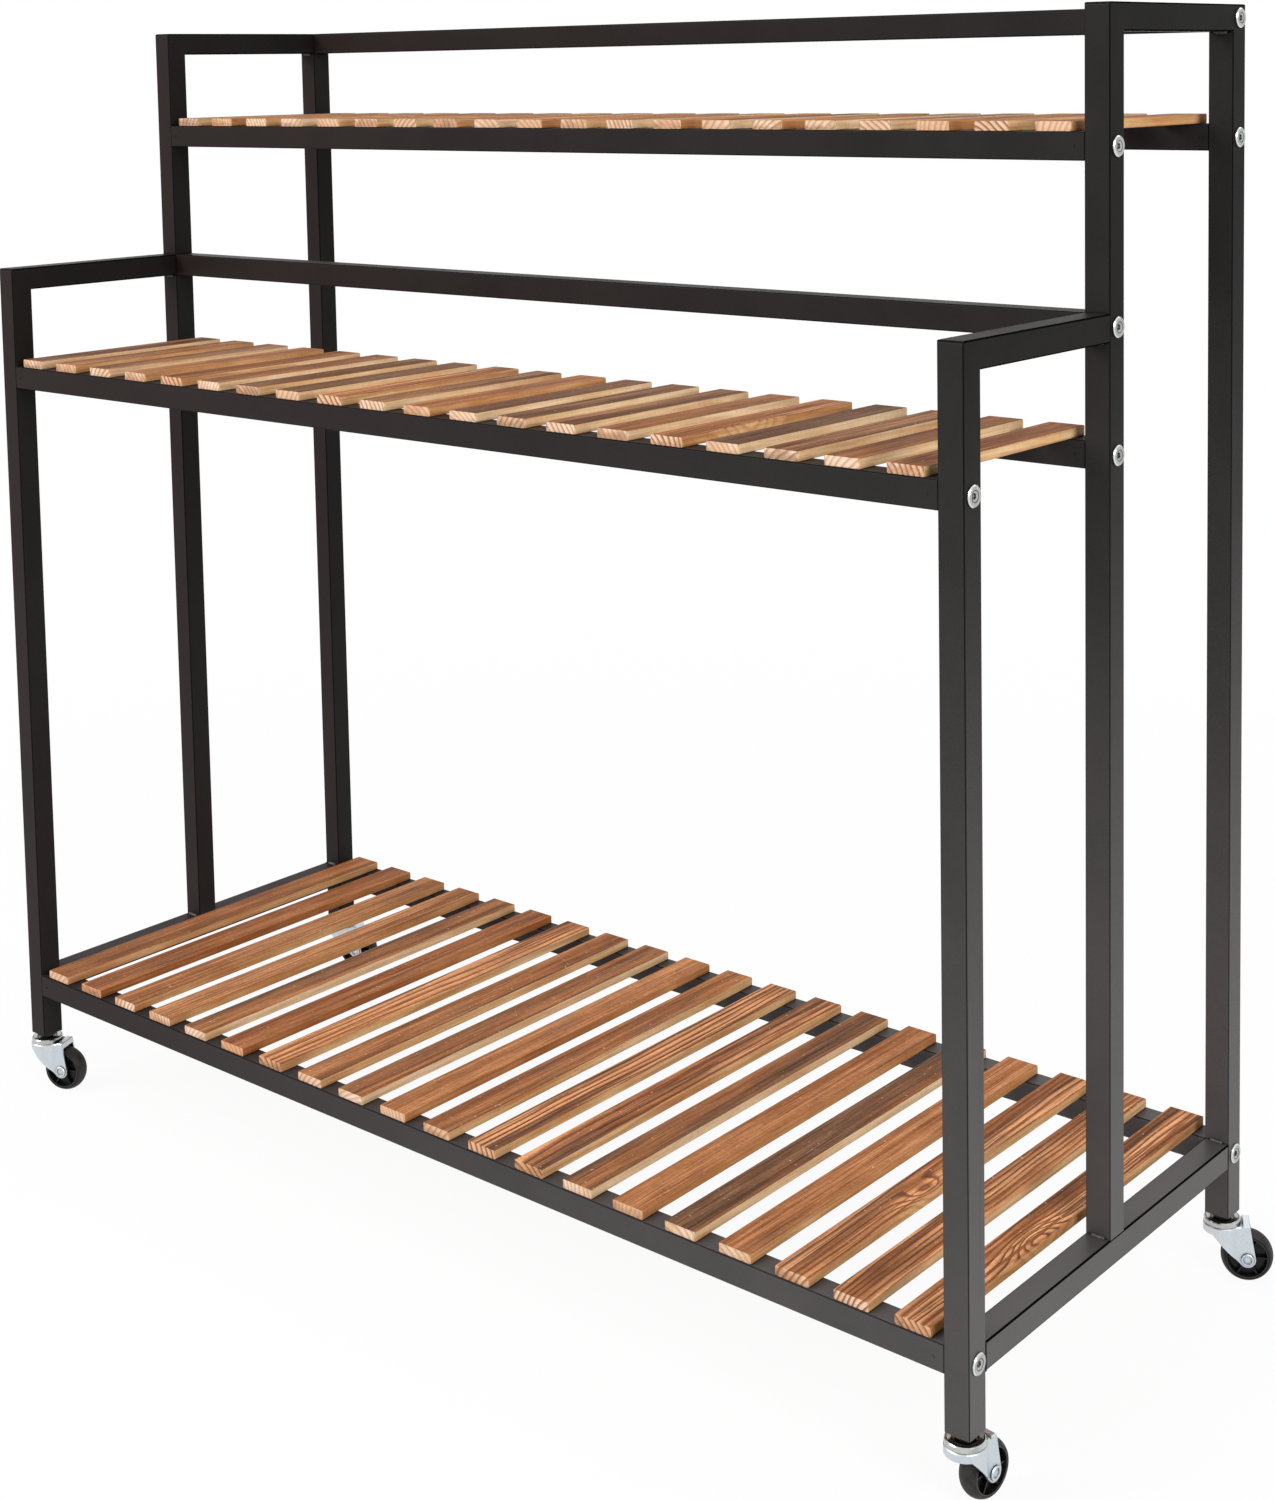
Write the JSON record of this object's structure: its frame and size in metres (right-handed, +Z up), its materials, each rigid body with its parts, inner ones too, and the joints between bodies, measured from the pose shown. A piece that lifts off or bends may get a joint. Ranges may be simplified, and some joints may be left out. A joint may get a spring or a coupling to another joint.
{
  "type": "rolling plant stand",
  "caption": "Rolling stepped plant stand: square-tube side frames joined by bolted cross rails, slatted wooden shelves at stepped heights with guard rails, and swivel casters under the legs.",
  "frame": {"origin": "on the floor, under the middle of the whole stand's outline with its casters as they stand", "axes": "+X along the shelves towards the stand's right as seen from the front, +Y from the front to the tall rear, +Z up from the floor"},
  "size_m": [1.3372, 0.5032, 1.23],
  "materials": {
    "powder_coat": "satin",
    "scorched_pine": "oiled",
    "bolt_nickel": "bright",
    "race_nickel": "bright",
    "zinc_plate": "satin zinc",
    "insert_plastic": "matte",
    "wheel_rubber": "satin"
  },
  "bodies": {
    "stand": {"front_post_left": "powder_coat", "middle_post_left": "powder_coat", "rear_post_left": "powder_coat", "bottom_side_rail_left": "powder_coat", "middle_arm_left": "powder_coat", "top_arm_left": "powder_coat", "front_post_right": "powder_coat", "middle_post_right": "powder_coat", "rear_post_right": "powder_coat", "bottom_side_rail_right": "powder_coat", "middle_arm_right": "powder_coat", "top_arm_right": "powder_coat", "bottom_front_rail": "powder_coat", "bottom_rear_rail": "powder_coat", "middle_front_rail": "powder_coat", "middle_rear_rail": "powder_coat", "middle_guard_rail": "powder_coat", "top_front_rail": "powder_coat", "top_rear_rail": "powder_coat", "top_guard_rail": "powder_coat", "rail_end_nuts": "powder_coat", "connector_bolts": "bolt_nickel", "bottom_slats": "scorched_pine", "bottom_slat_screws": "zinc_plate", "middle_slats": "scorched_pine", "middle_slat_screws": "zinc_plate", "top_slats": "scorched_pine", "top_slat_screws": "zinc_plate", "leg_insert_front_left": "insert_plastic", "caster_stem_front_left": "zinc_plate", "caster_race_front_left": "race_nickel", "caster_balls_front_left": "race_nickel", "leg_insert_front_right": "insert_plastic", "caster_stem_front_right": "zinc_plate", "caster_race_front_right": "race_nickel", "caster_balls_front_right": "race_nickel", "leg_insert_rear_left": "insert_plastic", "caster_stem_rear_left": "zinc_plate", "caster_race_rear_left": "race_nickel", "caster_balls_rear_left": "race_nickel", "leg_insert_rear_right": "insert_plastic", "caster_stem_rear_right": "zinc_plate", "caster_race_rear_right": "race_nickel", "caster_balls_rear_right": "race_nickel"},
    "fork_front_left": {"caster_fork_front_left": "zinc_plate", "caster_axle_front_left": "zinc_plate"},
    "wheel_front_left": {"caster_wheel_front_left": "wheel_rubber"},
    "fork_front_right": {"caster_fork_front_right": "zinc_plate", "caster_axle_front_right": "zinc_plate"},
    "wheel_front_right": {"caster_wheel_front_right": "wheel_rubber"},
    "fork_rear_left": {"caster_fork_rear_left": "zinc_plate", "caster_axle_rear_left": "zinc_plate"},
    "wheel_rear_left": {"caster_wheel_rear_left": "wheel_rubber"},
    "fork_rear_right": {"caster_fork_rear_right": "zinc_plate", "caster_axle_rear_right": "zinc_plate"},
    "wheel_rear_right": {"caster_wheel_rear_right": "wheel_rubber"}
  },
  "joints": [
    {"name": "swivel_front_left", "type": "hinge", "parent": "stand", "child": "fork_front_left", "pos_m": [-0.65043, -0.2334, 0.057], "axis": [0, 0, 1], "continuous": true},
    {"name": "swivel_front_right", "type": "hinge", "parent": "stand", "child": "fork_front_right", "pos_m": [0.62457, -0.2334, 0.057], "axis": [0, 0, 1], "continuous": true},
    {"name": "swivel_rear_left", "type": "hinge", "parent": "stand", "child": "fork_rear_left", "pos_m": [-0.65043, 0.2216, 0.057], "axis": [0, 0, 1], "continuous": true},
    {"name": "swivel_rear_right", "type": "hinge", "parent": "stand", "child": "fork_rear_right", "pos_m": [0.62457, 0.2216, 0.057], "axis": [0, 0, 1], "continuous": true},
    {"name": "roll_front_left", "type": "hinge", "parent": "fork_front_left", "child": "wheel_front_left", "pos_m": [-0.62866, -0.22429, 0.025], "axis": [-0.3859, 0.9225, 0], "continuous": true},
    {"name": "roll_front_right", "type": "hinge", "parent": "fork_front_right", "child": "wheel_front_right", "pos_m": [0.62732, -0.20996, 0.025], "axis": [-0.9932, 0.1167, 0], "continuous": true},
    {"name": "roll_rear_left", "type": "hinge", "parent": "fork_rear_left", "child": "wheel_rear_left", "pos_m": [-0.62904, 0.23158, 0.025], "axis": [-0.4226, 0.9063, 0], "continuous": true},
    {"name": "roll_rear_right", "type": "hinge", "parent": "fork_rear_right", "child": "wheel_rear_right", "pos_m": [0.64511, 0.23323, 0.025], "axis": [-0.4924, 0.8704, 0], "continuous": true}
  ]
}
